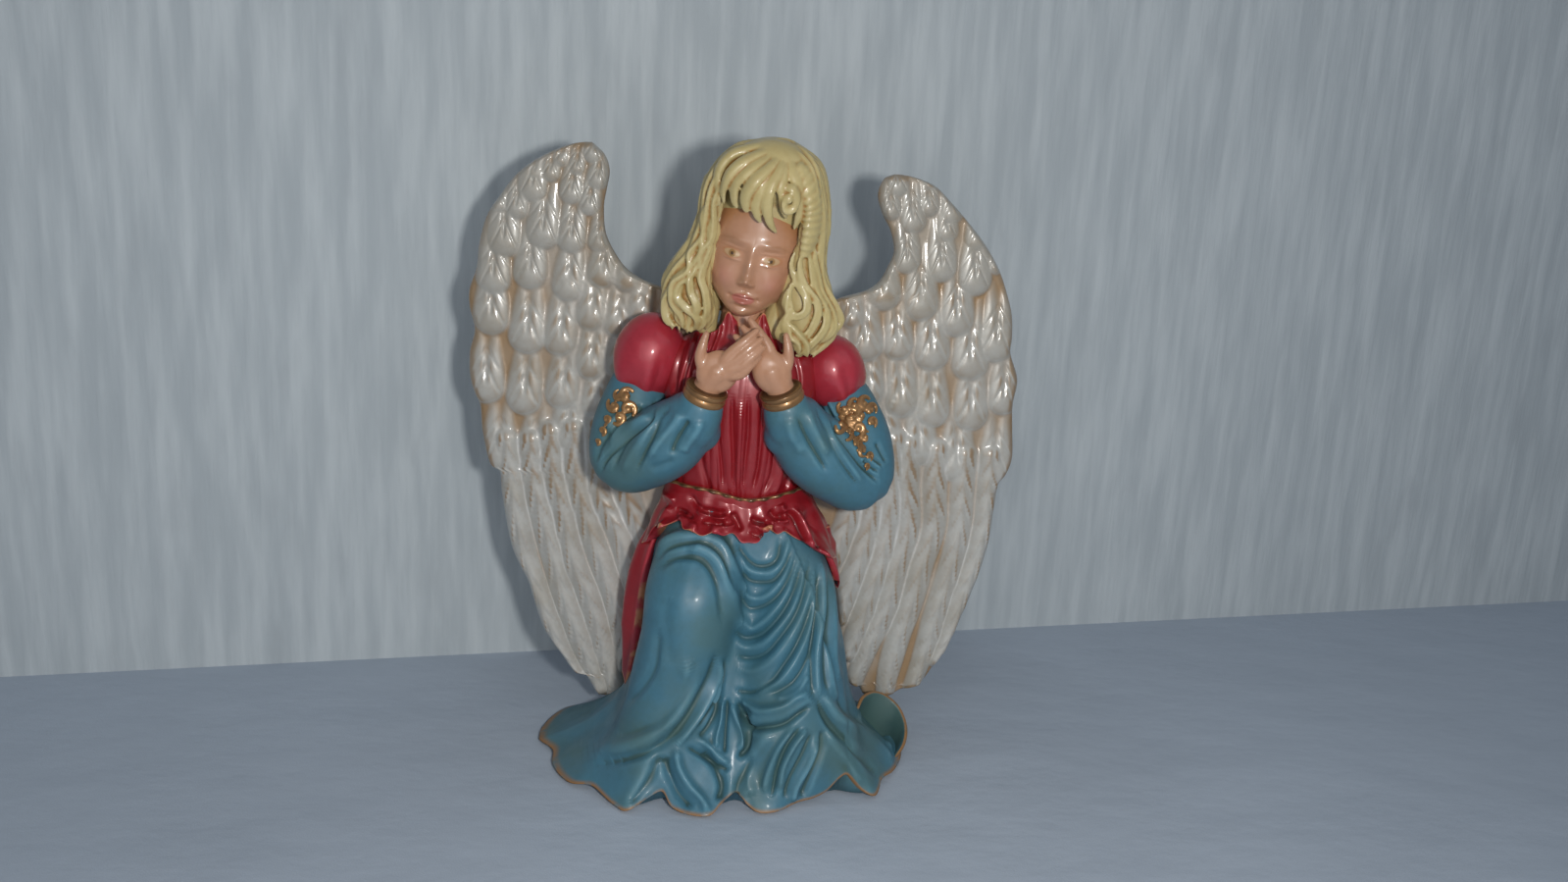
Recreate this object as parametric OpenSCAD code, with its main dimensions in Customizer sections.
// Kneeling angel figurine: hollow painted resin castings, keyed and glued together.
// Millimetres. +Z is up, +Y points to the wings behind the back, -Y is the front.
// "left" and "right" are as seen from the front: left is the -X side.
// The origin is on the resting face of the felt, under the middle of the figure.

/* [Figure] */
// Height of the waist line above the resting face
waist_z = 112; // [108:1:114]
// Half width of the body at the waist
waist_half = 30; // [28:0.5:32]
// Height of the neck joint
neck_z = 177; // [175:1:179]
// Sideways tilt of the head, crown towards the right
head_tilt = 9; // [4:1:12]
// Forward nod of the head
head_nod = 9; // [4:1:14]

/* [Skirt] */
// Wall of the hollow casting
wall = 4; // [3:0.5:5]
// Number of soft folds round the lower skirt
fold_count = 15; // [9:1:21]
// Depth of those folds
fold_depth = 1.6; // [0.5:0.1:2.4]
// How far the raised knee stands out of the skirt
knee_out = 15; // [10:1:18]

/* [Wings] */
// Distance of the wing's outer edge from the middle
wing_reach = 112; // [104:1:116]
// Height of the wing's hooked top
wing_top = 235; // [230:1:240]
// How much higher the left tip stands than the right
left_lift = 6; // [0:1:8]
// Thickness of the wing's plate
wing_t = 5; // [4:0.5:7]
// Angle that the wings sweep back from the shoulders
wing_sweep = 5; // [2:1:8]

/* [Base] */
// Thickness of the felt under the figure
felt_t = 1; // [0.6:0.2:1.6]
// Thickness of the board that closes the hollow
board_t = 3; // [2:0.5:4]

/* [Pins] */
// Diameter of the steel dowels
pin_d = 4; // [3:0.5:5]
// Gap left round a dowel and between castings, filled with glue
glue_gap = 0.15; // [0.05:0.05:0.25]

/* [Hidden] */

blue = [0.30, 0.49, 0.57];
red = [0.66, 0.13, 0.18];
gold = [0.62, 0.46, 0.24];
skin = [0.85, 0.64, 0.50];
straw = [0.87, 0.82, 0.55];
ivory = [0.85, 0.82, 0.76];

// The middle of the body, which the skirt's outline turns about
mid_x = -4;
mid_y = -5;
around = 60;
step = 360 / around;

// Hem: heading round the middle (0 is +X, 90 is the back) and distance of the hem from it
hem = [[-180, 78], [-165, 73], [-150, 63], [-137, 58], [-124, 50], [-107, 56], [-94, 48], [-82, 54],
       [-66, 56], [-50, 58], [-37, 68], [-18, 68], [2, 73], [19, 79], [32, 74], [50, 60], [85, 50],
       [120, 54], [145, 68], [158, 76], [170, 79], [180, 78]];
// Half width of the body at each height
side_half = [[0, 47], [50, 44], [80, 40], [waist_z, waist_half]];
front_half = [[0, 42], [20, 40], [50, 33], [80, 25], [waist_z, 17]];
back_half = [[0, 34], [50, 27], [80, 23], [waist_z, 18]];
flare_z = 62;
rebate_z = felt_t + board_t;

function heading(i) = -180 + i * step;
function swell(x, middle, spread) = exp(-pow((x - middle) / spread, 2));
function oval(a, b, angle) = 1 / sqrt(pow(cos(angle) / a, 2) + pow(sin(angle) / b, 2));
function column_r(a, z) = oval(lookup(z, side_half), a < 0 ? lookup(z, front_half) : lookup(z, back_half), a);
function flare(z) = pow(max(0, 1 - z / flare_z), 2.6);
function knee_r(a, z) = knee_out * swell(a, -116, 26) * (z > 84 ? swell(z, 84, 17) : swell(z, 84, 55));
// Distance of the skirt's plain surface from the middle, at a heading and a height
function plain_r(a, z) =
    column_r(a, z) + (lookup(a, hem) - column_r(a, 0)) * flare(z) + knee_r(a, z);
function folded_r(a, z) =
    plain_r(a, z) + fold_depth * cos(fold_count * a) * swell(z, 14, 34);
function inner_r(a, z) = plain_r(a, z) - fold_depth - wall;
function hem_z(a) = felt_t + 1.4 + 1.3 * cos(fold_count * a);
function polar(r, a, z) = [mid_x + r * cos(a), mid_y + r * sin(a), z];

// A closed skin through rings of points, capped at both ends
module loft(rings) {
    n = len(rings[0]);
    last = len(rings) - 1;
    polyhedron(
        points = [for (ring = rings) each ring],
        faces = concat(
            [for (j = [0:last - 1], i = [0:n - 1]) [j * n + i, (j + 1) * n + i, (j + 1) * n + (i + 1) % n]],
            [for (j = [0:last - 1], i = [0:n - 1]) [j * n + i, (j + 1) * n + (i + 1) % n, j * n + (i + 1) % n]],
            [[for (i = [0:n - 1]) i]],
            [[for (i = [n - 1:-1:0]) last * n + i]]));
}

// The same skin with its last ring joined to its first, for a wall that goes right round
module loop_loft(rings) {
    n = len(rings[0]);
    m = len(rings);
    polyhedron(
        points = [for (ring = rings) each ring],
        faces = concat(
            [for (j = [0:m - 1], i = [0:n - 1])
                [j * n + i, (j + 1) % m * n + i, (j + 1) % m * n + (i + 1) % n]],
            [for (j = [0:m - 1], i = [0:n - 1])
                [j * n + i, (j + 1) % m * n + (i + 1) % n, j * n + (i + 1) % n]]));
}

// Beads [x, y, z, radius] joined one to the next
module chain(beads, grow = 0, sides = 14) {
    for (i = [0:len(beads) - 2])
        hull()
            for (bead = [beads[i], beads[i + 1]])
                translate([bead[0], bead[1], bead[2]])
                    sphere(r = bead[3] + grow, $fn = sides);
}

// ---- Base ----

function board_r(a) = plain_r(a, rebate_z) - fold_depth - 6;

module base_outline(inset) {
    polygon([for (i = [0:around - 1])
        let (r = board_r(heading(i)) - inset) [mid_x + r * cos(heading(i)), mid_y + r * sin(heading(i))]]);
}

module felt_pad() {
    color([0.18, 0.27, 0.22])
        linear_extrude(height = felt_t) base_outline(1.5);
}

module base_board() {
    color([0.62, 0.52, 0.38])
        translate([0, 0, felt_t]) linear_extrude(height = board_t) base_outline(0.3);
}

// ---- Skirt ----

skirt_heights = [4, 8, 13, 19, 27, 37, 48, 60, 70, 79, 87, 95, 102, waist_z];
hollow_heights = [90, 66, 42, 24, 12];

module skirt() {
    color(blue) loop_loft(concat(
        [[for (i = [0:around - 1]) polar(folded_r(heading(i), 0), heading(i), hem_z(heading(i)))]],
        [for (z = skirt_heights) [for (i = [0:around - 1])
            let (a = heading(i)) polar(folded_r(a, z), a, max(z, hem_z(a) + 1))]],
        [[for (i = [0:around - 1]) polar(inner_r(heading(i), waist_z), heading(i), waist_z)]],
        [for (z = hollow_heights) [for (i = [0:around - 1]) polar(inner_r(heading(i), z), heading(i), z)]],
        [[for (i = [0:around - 1]) polar(board_r(heading(i)) - 3, heading(i), rebate_z + 0.1)]],
        [[for (i = [0:around - 1]) polar(board_r(heading(i)), heading(i), rebate_z)]],
        [[for (i = [0:around - 1]) polar(board_r(heading(i)), heading(i), felt_t + 0.1)]]));
}

// The skirt without its folds or hollow, for cutting its neighbours
module skirt_core(grow) {
    loft([for (z = [0, 8, 19, 34, 52, 72, 88, 96, 103, waist_z])
        [for (i = [0:around - 1]) polar(plain_r(heading(i), z) + grow, heading(i), z)]]);
}

// A panel lying on the skirt between two headings; its sides draw together by `taper` at the foot
module skirt_panel(from, to, foot_z, head_z, thick, taper) {
    across = 10;
    up = 8;
    function place(k, j, out) =
        let (z = foot_z + (head_z - foot_z) * j / up,
             pull = taper * pow(1 - j / up, 2),
             a = from + pull + (to - from - 2 * pull) * k / across)
        polar(plain_r(a, z) + fold_depth + out, a, z);
    function crown(k) = thick * (0.45 + 0.55 * sin(180 * k / across)) + 0.7 * cos(900 * k / across);
    loft([for (j = [0:up]) concat(
        [for (k = [0:across]) place(k, j, crown(k))],
        [for (k = [across:-1:0]) place(k, j, 0)])]);
}

module left_overskirt() {
    color(red) skirt_panel(156, 190, 28, 91, 5, 9);
}

module right_overskirt() {
    color(red) skirt_panel(-12, 26, 60, 90, 3.2, 8);
}

// ---- Waist ----

// Lower edge of the ruffle, deeper at the sides than in the middle
function ruffle_z(a) = waist_z - 17 + 5 * swell(a, -88, 34) - 2.5 * cos(9 * a);
function ruffle_out(a, lift) = 2.6 + 2.4 * pow(1 - lift, 1.5) + 1.5 * cos(18 * a) * (1.1 - lift);

// One ring of the ruffle, part way up, `out` beyond the skirt
function ruffle_ring(lift, outer) = [for (i = [0:1.5 * around - 1])
    let (a = -180 + i * step / 1.5, z = ruffle_z(a) + (waist_z - ruffle_z(a)) * lift)
    polar(plain_r(a, z) + fold_depth + (outer ? ruffle_out(a, lift) : glue_gap), a, z)];

module peplum() {
    color(red) loop_loft(concat(
        [for (lift = [0, 0.4, 1]) ruffle_ring(lift, true)],
        [for (lift = [1, 0]) ruffle_ring(lift, false)]));
}

// A thin roll on the ruffle's upper edge
module waist_cord() {
    sides = 6;
    roll = 1.3;
    function middle(a) = polar(plain_r(a, waist_z) + fold_depth + roll, a, waist_z + roll);
    color(gold) loop_loft([for (k = [sides - 1:-1:0])
        [for (i = [0:0.75 * around - 1])
            let (a = heading(i / 0.75), b = 360 * k / sides)
            middle(a) + roll * [cos(b) * cos(a), cos(b) * sin(a), sin(b)]]]);
}

// ---- Bodice ----

// Height, half width, depth in front of the middle, depth behind it
bodice_rings = [[waist_z, waist_half, 17, 18], [118, 27.5, 17, 17.5], [132, 26, 18, 17], [146, 29, 18.5, 17],
                [156, 32, 18, 17], [164, 32, 16, 16], [170, 25, 13, 14], [174, 17, 10, 11], [neck_z, 13, 9, 10]];
spigot_z = waist_z - 9;
pleats = 8;

function bodice_ring(ring, grow) = [for (i = [0:around / 2 - 1])
    let (a = -180 + 2 * i * step, r = oval(ring[1] + grow, (a < 0 ? ring[2] : ring[3]) + grow, a))
    polar(r, a, ring[0])];

module bodice_core(grow) {
    loft([for (ring = bodice_rings) bodice_ring(ring, grow)]);
}

module bodice_spigot() {
    loft([for (z = [spigot_z, waist_z + 0.5]) [for (i = [0:around / 2 - 1])
        let (a = -180 + 2 * i * step) polar(inner_r(a, waist_z) - glue_gap, a, z)]]);
}

module bodice() {
    color(red) difference() {
        union() {
            bodice_core(0);
            bodice_spigot();
            for (k = [0:pleats - 1])
                let (side = (k - (pleats - 1) / 2) / (pleats - 1))
                chain([[mid_x + 34 * side, mid_y - 16 + 9 * side * side, waist_z + 4, 1.6],
                       [mid_x + 40 * side, mid_y - 17.5 + 9 * side * side, 140, 1.8],
                       [mid_x + 30 * side, mid_y - 11 + 7 * side * side, neck_z - 7, 1.4]], 0, 7);
        }
        neck_pin(glue_gap);
        back_pins(glue_gap);
        translate([mid_x, mid_y, neck_z + 5]) cube([60, 60, 10], center = true);
    }
}

// ---- Pins ----

pin_length = 18;
back_face_y = 13;

module neck_pin(gap) {
    translate([mid_x, mid_y + 2, neck_z - pin_length / 2 - gap])
        cylinder(d = pin_d + 2 * gap, h = pin_length + 2 * gap, $fn = 24);
}

// Two pins for each wing, level through the back
module back_pins(gap) {
    for (side = [-1, 1], z = [146, 160])
        translate([mid_x + 9 * side, back_face_y - pin_length * 0.6 - gap, z])
            rotate([-90, 0, 0]) cylinder(d = pin_d + 2 * gap, h = pin_length * 0.85 + 2 * gap, $fn = 24);
}

module wing_dowels() {
    color([0.7, 0.7, 0.72]) back_pins(0);
}

module neck_dowel() {
    color([0.7, 0.7, 0.72]) neck_pin(0);
}

// ---- Arms ----

left_arm = [[-45, -3, 146, 12], [-48, -9, 127, 15.5], [-36, -18, 133, 13.5], [-22, -27, 146, 9]];
right_arm = [[38, -3, 144, 12], [42, -9, 124, 15], [30, -18, 131, 13.5], [14, -27, 146, 9]];
left_wrist = [-20, -30.5, 150];
right_wrist = [12, -30.5, 150];
// Heading and rise of each forearm, as [turn about Z, lean from upright]
left_aim = [-30, 44];
right_aim = [210, 44];
cuff_length = 7;
cuff_r = 7.2;
wrist_r = 5.2;

// Puts the children at a wrist with +Z along the forearm
module at_wrist(place, aim) {
    translate(place) rotate([0, 0, aim[0]]) rotate([0, aim[1], 0]) children();
}

// The room that a cuff and the wrist inside it take
module wrist_room(place, aim) {
    at_wrist(place, aim) cylinder(r = cuff_r + 6, h = 30, $fn = 24);
}

module puff_core(place, grow) {
    for (i = [0:7])
        hull() {
            translate(place + [0, 0, 3]) sphere(r = 11.5 + grow, $fn = 16);
            translate(place + [3.2 * cos(45 * i), 3.2 * sin(45 * i), -4]) sphere(r = 9.5 + grow, $fn = 12);
        }
}

left_puff_at = [-38, -3, 162];
right_puff_at = [30, -3, 159];

module left_puff() {
    color(red) difference() {
        puff_core(left_puff_at, 0);
        bodice_core(glue_gap);
    }
}

module right_puff() {
    color(red) difference() {
        puff_core(right_puff_at, 0);
        bodice_core(glue_gap);
    }
}

// A sleeve with long folds raised along it
module sleeve(arm, wrist, aim, puff) {
    folds = 5;
    color(blue) difference() {
        union() {
            chain(arm, 0, 16);
            for (k = [0:folds - 1])
                let (b = 150 + 60 * k / (folds - 1))
                chain([for (bead = [arm[1], arm[2], arm[3]])
                    [bead[0], bead[1] - 0.86 * bead[3] * cos(b - 180), bead[2] + 0.86 * bead[3] * sin(b - 180),
                     0.2 * bead[3]]], 0, 8);
        }
        wrist_room(wrist, aim);
        puff_core(puff, glue_gap);
        bodice_core(2.5);
        peplum_room();
    }
}

// The space that the waist and its ruffle take
module peplum_room() {
    translate([mid_x, mid_y, spigot_z + 5]) scale([1, 0.66, 1]) cylinder(r = waist_half + 9, h = 10, $fn = 32);
}

module left_sleeve() {
    sleeve(left_arm, left_wrist, left_aim, left_puff_at);
}

module right_sleeve() {
    sleeve(right_arm, right_wrist, right_aim, right_puff_at);
}

// A wide band with three raised ridges
module cuff() {
    rotate_extrude($fn = 48) difference() {
        union() {
            translate([wrist_r + glue_gap, 0]) square([cuff_r - wrist_r - glue_gap, cuff_length]);
            for (k = [0:2])
                translate([cuff_r, cuff_length * (k + 0.5) / 3]) circle(r = 0.9, $fn = 16);
        }
        translate([0, -5]) square([wrist_r + glue_gap, 20]);
    }
}

module left_cuff() {
    color(gold) at_wrist(left_wrist, left_aim) cuff();
}

module right_cuff() {
    color(gold) at_wrist(right_wrist, right_aim) cuff();
}

// Hand lying on the chest: wrist, palm, four fingers and a thumb, each a row of beads
module hand(place, aim, spread, reach, thumb) {
    palm = place + [reach[0] * 0.45, -4.5, 12];
    at_wrist(place, aim) cylinder(r = wrist_r, h = cuff_length + 2, $fn = 24);
    hull() {
        at_wrist(place, aim) translate([0, 0, cuff_length + 1]) sphere(r = wrist_r - 0.2, $fn = 12);
        translate(palm) sphere(r = 5, $fn = 12);
    }
    for (k = [0:3]) {
        knuckle = palm + spread * (k - 1.5) + reach * 0.18;
        tip = knuckle + reach * (1 - 0.06 * pow(k - 1.2, 2));
        chain([concat(palm, 3.4), concat(knuckle, 2.6), concat(tip, 1.9)], 0, 8);
    }
    chain([concat(palm, 3.4), concat(palm + thumb * 0.5, 2.7), concat(palm + thumb, 2.1)], 0, 8);
}

module left_hand() {
    color(skin) hand(left_wrist, left_aim, [2.2, 0, -2.6], [16, -1, 11], [-1, -2, 14]);
}

module right_hand() {
    color(skin) difference() {
        hand(right_wrist, right_aim, [-2.2, 0, -2.6], [-14, 5, 9], [1, -2, 13]);
        hand(left_wrist, left_aim, [2.2, 0, -2.6], [16, -1, 11], [-1, -2, 14]);
    }
}

// A leafy rosette with a tail of leaves, pressed on the upper sleeve
module rosette(place, turn, size) {
    petals = 6;
    translate(place) rotate([0, 0, turn]) scale(size) {
        for (k = [0:petals - 1])
            let (b = 360 * k / petals)
            hull() {
                translate([2 * cos(b), 0, 2 * sin(b)]) sphere(r = 1.2, $fn = 6);
                translate([5.5 * cos(b + 20), 0.8, 5.5 * sin(b + 20)]) sphere(r = 1.7, $fn = 8);
            }
        for (k = [1:3])
            hull() {
                translate([1 + k, 0, -3.5 * k]) sphere(r = 1.5, $fn = 6);
                translate([2.5 - k, 0.6, -4 * k - 3]) sphere(r = 1.8, $fn = 8);
            }
        sphere(r = 2, $fn = 8);
    }
}

module left_ornament() {
    color(gold) difference() {
        rosette([-53, -15, 146], -35, 1);
        chain(left_arm, glue_gap, 16);
        puff_core(left_puff_at, glue_gap);
    }
}

module right_ornament() {
    color(gold) difference() {
        rosette([45, -16, 144], 35, 1.25);
        chain(right_arm, glue_gap, 16);
        puff_core(right_puff_at, glue_gap);
    }
}

// ---- Head ----

head_at = [mid_x, mid_y + 1, neck_z + 11];

// Puts the children on the neck with the head's nod and tilt
module on_neck() {
    translate(head_at) rotate([head_nod, head_tilt, -6]) children();
}

module skull_core(grow) {
    on_neck() {
        hull() {
            translate([0, 3, 27]) sphere(r = 20 + grow, $fn = 18);
            translate([0, -3, 26]) sphere(r = 17 + grow, $fn = 16);
            translate([0, -14, 2]) sphere(r = 5 + grow, $fn = 12);
            translate([0, -3, 6]) sphere(r = 13 + grow, $fn = 16);
        }
    }
    translate([head_at[0], head_at[1], neck_z + 0.05])
        cylinder(r1 = 9 + grow, r2 = 8 + grow, h = 12, $fn = 24);
}

module head() {
    color(skin) difference() {
        union() {
            skull_core(0);
            on_neck() {
                chain([[0, -19, 24, 1.6], [0, -21, 17, 2], [0, -22.5, 13.5, 2.6], [0, -19, 11, 2]], 0, 8);
                for (side = [-1, 1]) {
                    chain([[3 * side, -19.2, 24, 1.8], [9 * side, -17.4, 25, 1.8], [14 * side, -12.5, 23, 1.8]], 0, 8);
                    chain([[4 * side, -18, 20, 2], [8 * side, -17, 20.4, 2.4], [12 * side, -14, 20, 2]], 0, 8);
                    chain([[0, -19.2, 6.6, 1.5], [5 * side, -17, 6.8, 1]], 0, 8);
                    chain([[9 * side, -14, 13, 4], [6 * side, -14, 8, 3.6]], 0, 8);
                }
                chain([[-4, -17.4, 4.4, 1.2], [0, -18.6, 4.2, 1.6], [4, -17.4, 4.4, 1.2]], 0, 8);
            }
        }
        neck_pin(glue_gap);
    }
}

// Locks of hair: rows of beads in the head's own directions, mirrored for the other side
fringe = [[[2, -3, 51, 5], [-8, -15, 45, 3.6], [-14, -19, 35, 2.2]],
          [[3, -3, 51, 5], [-2, -18, 44, 3.6], [-5, -21.5, 36, 2]],
          [[4, -3, 51, 5], [4, -18, 44, 3.6], [3, -21.5, 37, 2]],
          [[5, -3, 51, 5], [11, -15, 43, 3.6], [13, -18, 35, 3]]];
side_lock = [[8, -1, 50, 5], [18, -8, 40, 6.5], [22, -9, 24, 7], [25, -8, 10, 6.5], [29, -8, -4, 6], [28, -12, -14, 4]];
near_lock = [[18, -10, 34, 5], [19.5, -13, 20, 4.6], [19, -12, 6, 5], [23, -12, -6, 5], [21, -14, -15, 3.4]];
back_lock = [[4, 10, 47, 9], [7, 19, 26, 10], [8, 19, 6, 10], [7, 16, -14, 8]];

function mirrored(beads, side) = [for (b = beads) [side * b[0], b[1], b[2], b[3]]];

module hair_mass() {
    on_neck() {
        hull() {
            translate([0, 4, 35]) sphere(r = 23.5, $fn = 20);
            translate([0, 8, 20]) sphere(r = 22, $fn = 20);
        }
        for (lock = fringe)
            chain(lock, 0, 8);
        for (side = [-1, 1]) {
            chain(mirrored(side_lock, side), 0, 8);
            chain(mirrored(near_lock, side), 0, 8);
            chain(mirrored(back_lock, side), 0, 8);
        }
    }
}

module hair() {
    color(straw) difference() {
        hair_mass();
        skull_core(glue_gap);
        bodice_core(1.2);
        puff_core(left_puff_at, glue_gap);
        puff_core(right_puff_at, glue_gap);
        wing_room();
    }
}

// ---- Wings ----

// Outer and inner edge: height above the resting face and distance from the middle of the back
wing_outer = [[12, 62], [19, 80], [37, 92], [51, 97], [74, 104], [101, 107], [121, 112], [144, 112],
              [172, 110], [190, 105], [208, 95], [wing_top - 11, 79], [wing_top - 4, 70], [wing_top, 60]];
wing_inner = [[12, 56], [22, 47], [60, 42], [90, 34], [120, 8], [150, 2], [178, 3], [186, 36], [193, 50],
              [206, 56], [wing_top - 15, 51], [wing_top - 7, 49], [wing_top, 55]];
// The edge's distances are drawn for this reach
drawn_reach = 112;

function outer_x(z) = lookup(z, wing_outer) * wing_reach / drawn_reach;
function inner_x(z) = lookup(z, wing_inner);
// The lift of a wing's top fades away towards its shoulder
function lifted(z, lift) = z + lift * max(0, min(1, (z - 100) / 100));

module wing_outline(lift) {
    polygon(concat(
        [for (e = wing_outer) [outer_x(e[0]), lifted(e[0], lift)]],
        [for (i = [len(wing_inner) - 1:-1:0]) [wing_inner[i][1], lifted(wing_inner[i][0], lift)]]));
}

// One feather lying on the plate: root and tip in the plate's plane, and its half width
module feather(root, tip, half) {
    hull() {
        translate([root[0], -0.6, root[1]]) scale([1, 0.5, 1]) sphere(r = half * 0.75, $fn = 4);
        translate([tip[0], -1.6, tip[1]]) scale([1, 0.35, 1]) sphere(r = half, $fn = 7);
    }
}

covert_rows = 6;
covert_top = wing_top - 16;
covert_foot = 124;
// How much lower a row ends at the outer edge
covert_drop = 13;
feather_half = 6.8;
primaries = 7;

module wing_relief(lift) {
    for (row = [0:covert_rows - 1]) {
        z = covert_top - (covert_top - covert_foot) * row / (covert_rows - 1);
        from = max(inner_x(z), 42) + feather_half - 1;
        to = outer_x(z - covert_drop) - feather_half + 1;
        count = 3 + floor(row * 0.4);
        for (k = [0:count - 1])
            let (u = k / (count - 1),
                 x = from + (to - from) * u,
                 tip_z = lifted(z - covert_drop * pow(u, 1.5), lift) + feather_half)
            feather([x - 1, tip_z + 10], [x, tip_z], feather_half);
    }
    for (k = [0:primaries - 1])
        let (u = k / (primaries - 1))
        feather([46 + 56 * u, 112 - 6 * u], [54 + 38 * u, 20 + 30 * pow(u, 1.6)], 5);
}

// Stands a flat wing on its side of the body, swept back from the shoulders
module place_wing(side) {
    translate([mid_x + 3, back_face_y, 0])
        mirror([side < 0 ? 1 : 0, 0, 0])
            rotate([0, 0, wing_sweep])
                children();
}

// The wing's plate, made thicker to the front and wider all round by `grow`
module wing_plate(lift, front, grow) {
    translate([0, wing_t, 0]) rotate([90, 0, 0])
        linear_extrude(height = wing_t + front) offset(r = grow, $fn = 12) wing_outline(lift);
}

module wing(side, lift) {
    color(ivory) difference() {
        place_wing(side) {
            wing_plate(lift, 0, 0.01);
            intersection() {
                wing_relief(lift);
                wing_plate(lift, 6, 1.5);
            }
        }
        skirt_core(fold_depth + 5);
        bodice_core(glue_gap);
        puff_core(side < 0 ? left_puff_at : right_puff_at, glue_gap);
        back_pins(glue_gap);
        // The two wings meet behind the middle of the back
        translate([side < 0 ? mid_x - 0.1 : mid_x - 199.9, -50, 0]) cube([200, 200, 300]);
    }
}

// The space that the wings take behind the head
module wing_room() {
    for (side = [-1, 1])
        place_wing(side) wing_plate(side < 0 ? left_lift : 0, 3, 0.5);
}

module left_wing() {
    wing(-1, left_lift);
}

module right_wing() {
    wing(1, 0);
}

felt_pad();
base_board();
skirt();
left_overskirt();
right_overskirt();
peplum();
waist_cord();
bodice();
left_puff();
right_puff();
left_sleeve();
right_sleeve();
left_ornament();
right_ornament();
left_cuff();
right_cuff();
left_hand();
right_hand();
head();
hair();
left_wing();
right_wing();
wing_dowels();
neck_dowel();
